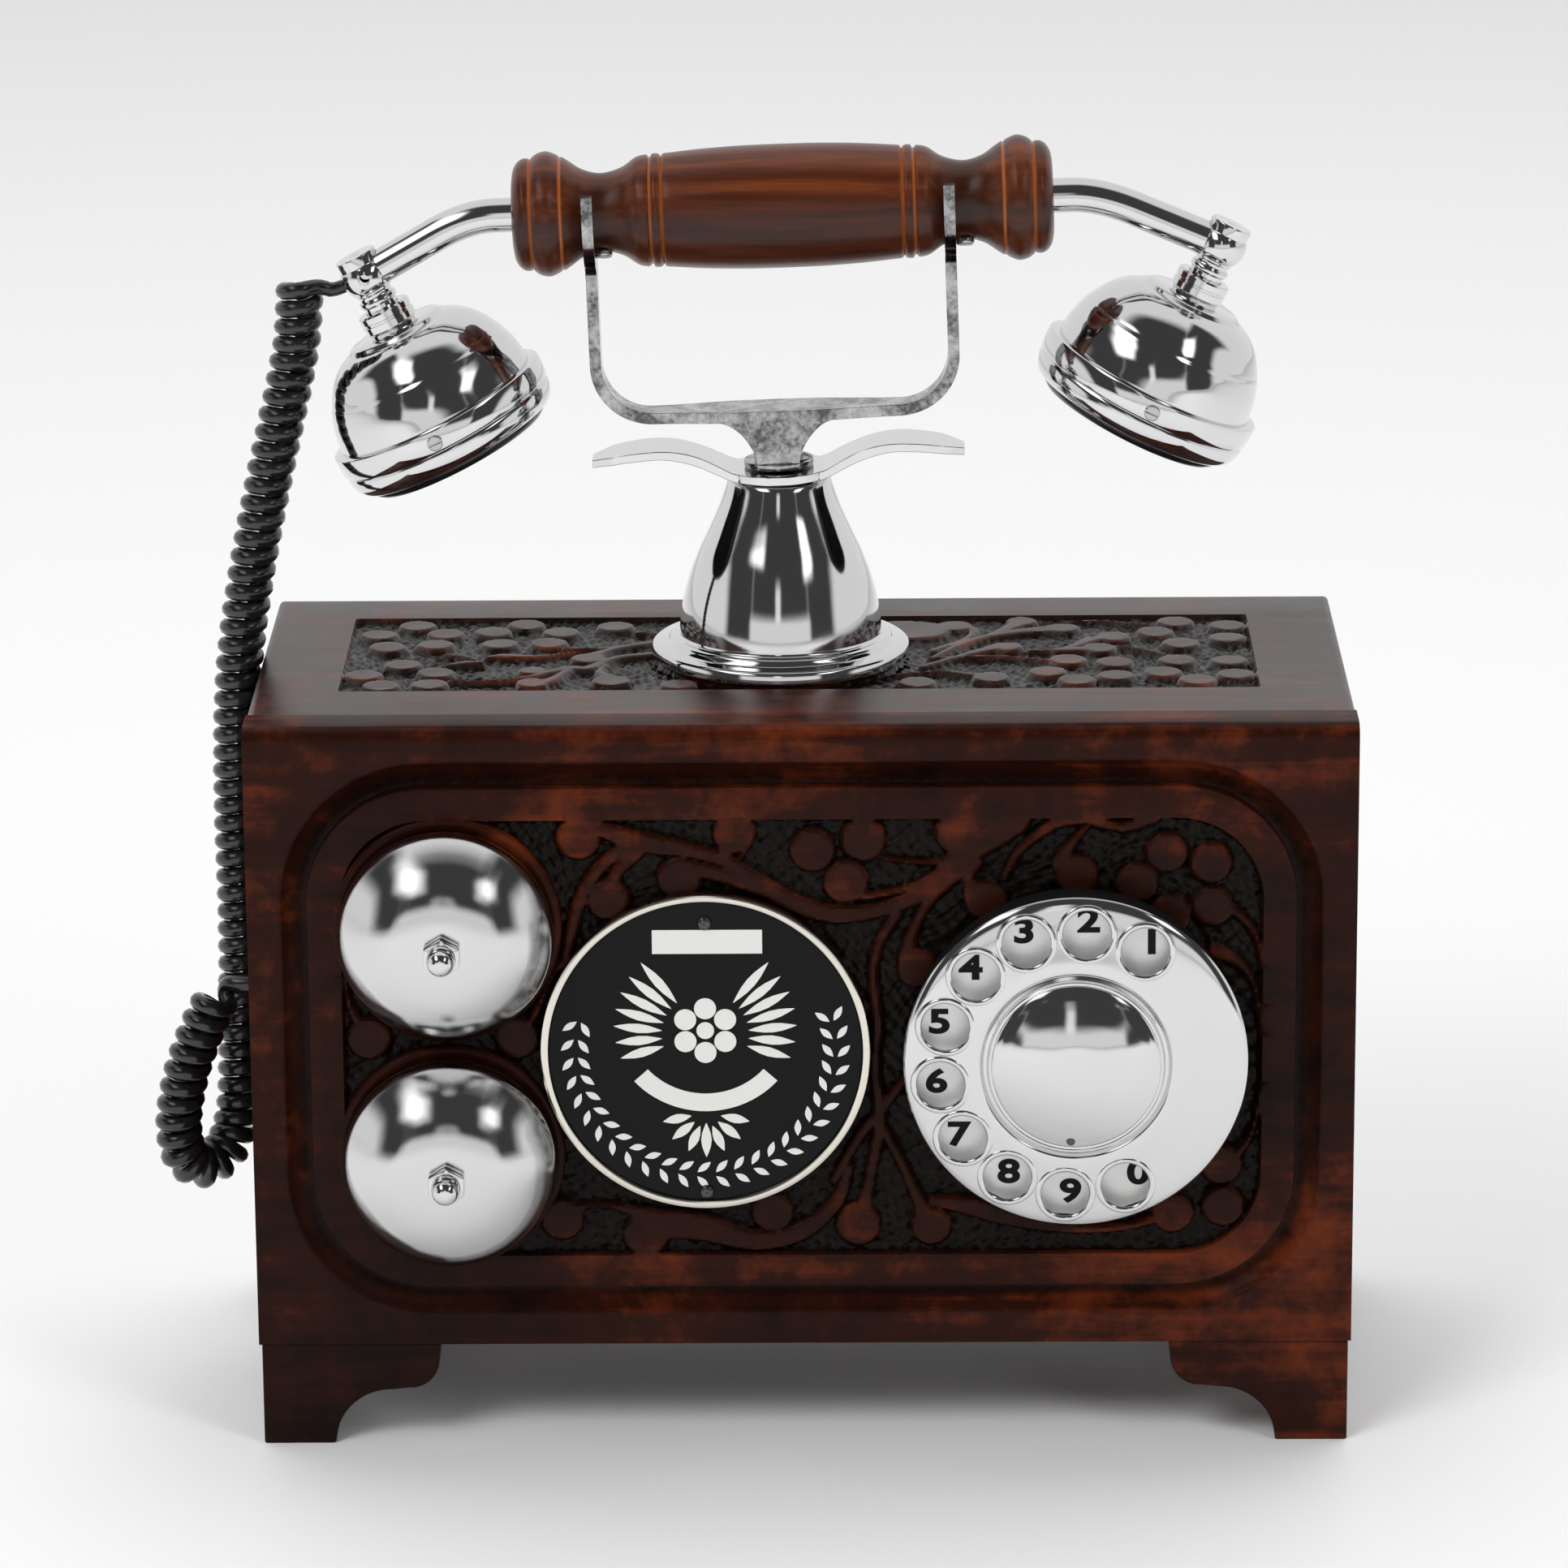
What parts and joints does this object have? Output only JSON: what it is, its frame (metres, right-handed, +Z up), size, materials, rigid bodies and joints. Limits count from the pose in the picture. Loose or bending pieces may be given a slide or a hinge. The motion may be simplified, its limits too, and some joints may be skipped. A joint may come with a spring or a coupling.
{
  "type": "desk telephone",
  "caption": "Desk telephone: carved wooden box on bracket feet, two chrome bells, round badge, rotary dial, and a turned handset with chrome cups across a sprung cradle.",
  "frame": {"origin": "on the surface it stands on, below the middle of the telephone without its cord", "axes": "+Z up, front (dial and bells) towards -Y, +X to the right as seen from the front"},
  "size_m": [0.2774, 0.147, 0.2921],
  "materials": {
    "dark_wood": "semi-gloss stained",
    "handle_wood": "polished",
    "chrome": "mirror plated",
    "nickel": "polished nickel",
    "black_enamel": "satin enamel",
    "dark_screws": "blackened",
    "steel": "bright",
    "brass": "turned",
    "coil_winding": "varnished winding",
    "zinc_plate": "zinc plated",
    "black_plastic": "moulded",
    "digit_plate": "satin enamel with black digits",
    "black_cord": "glossy coiled jacket",
    "black_rubber": "matt"
  },
  "bodies": {
    "base": {"front_panel": "dark_wood", "top_board": "dark_wood", "left_side_board": "dark_wood", "right_side_board": "dark_wood", "bottom_board": "dark_wood", "back_panel": "dark_wood", "back_panel_screws": "dark_screws", "front_feet": "dark_wood", "rear_feet": "dark_wood", "badge_rim": "nickel", "badge_plate": "black_enamel", "badge_screws": "dark_screws", "bell_upper": "chrome", "bell_lower": "chrome", "bell_posts": "steel", "bell_hex_nuts": "chrome", "bell_acorn_nuts": "chrome", "ringer_frame": "steel", "ringer_coils": "coil_winding", "ringer_core": "steel", "clapper_pin": "steel", "dial_bezel": "black_plastic", "dial_case": "zinc_plate", "dial_bush": "brass", "number_plate": "digit_plate", "dial_spring": "steel", "dial_contacts": "black_plastic", "cone_stand": "chrome", "stand_screws": "dark_screws", "guide_bush": "brass", "wing_plate": "chrome", "return_spring": "steel", "hook_switch": "black_plastic", "handset_cord": "black_cord", "cord_bottom_lead": "black_cord", "cord_grommet": "black_rubber", "line_inlet": "black_plastic", "terminal_block": "black_plastic", "induction_coil": "coil_winding"},
    "clapper": {"clapper": "steel"},
    "dial": {"finger_wheel": "chrome", "dial_cap": "chrome", "dial_shaft": "steel"},
    "governor": {"dial_governor": "brass"},
    "cradle": {"cradle_yoke": "chrome", "plunger_rod": "steel"},
    "handset": {"handle": "handle_wood", "handset_screws": "dark_screws", "tube_left": "chrome", "tube_right": "chrome", "elbow_left": "chrome", "elbow_right": "chrome", "collar_nuts": "chrome", "transmitter_cup": "chrome", "receiver_cup": "chrome", "cap_rings": "chrome", "sound_capsules": "black_plastic", "mouthpiece": "black_plastic", "earpiece": "black_plastic", "cord_top_lead": "black_cord"}
  },
  "joints": [
    {"name": "handset_lift", "type": "slide", "parent": "base", "child": "handset", "axis": [0, 0, 1], "range_m": [0, 0.1], "deforming": ["handset_cord", "cord_bottom_lead"]},
    {"name": "cradle_rise", "type": "slide", "parent": "base", "child": "cradle", "axis": [0, 0, 1], "range_m": [0, 0.004], "stiffness_N_per_m": 100, "springref_m": 0.012, "deforming": ["return_spring"]},
    {"name": "dial_turn", "type": "hinge", "parent": "base", "child": "dial", "pos_m": [0.0615, -0.0455, 0.0954], "axis": [0, 1, 0], "range_deg": [0, 320], "stiffness_Nm_per_rad": 0.01, "springref_deg": -28.65},
    {"name": "governor_spin", "type": "hinge", "parent": "base", "child": "governor", "pos_m": [0.04346, -0.0455, 0.08883], "axis": [0, 1, 0], "range_deg": [-970, 5]},
    {"name": "clapper_rock", "type": "hinge", "parent": "base", "child": "clapper", "pos_m": [-0.08, 0.0005, 0.0971], "axis": [1, 0, 0], "range_deg": [-1.5, 1.5]}
  ],
  "couplings": [
    {"joint": "governor_spin", "follows": "dial_turn", "ratio": -3},
    {"joint": "cradle_rise", "follows": "handset_lift", "ratio": 0.04}
  ]
}
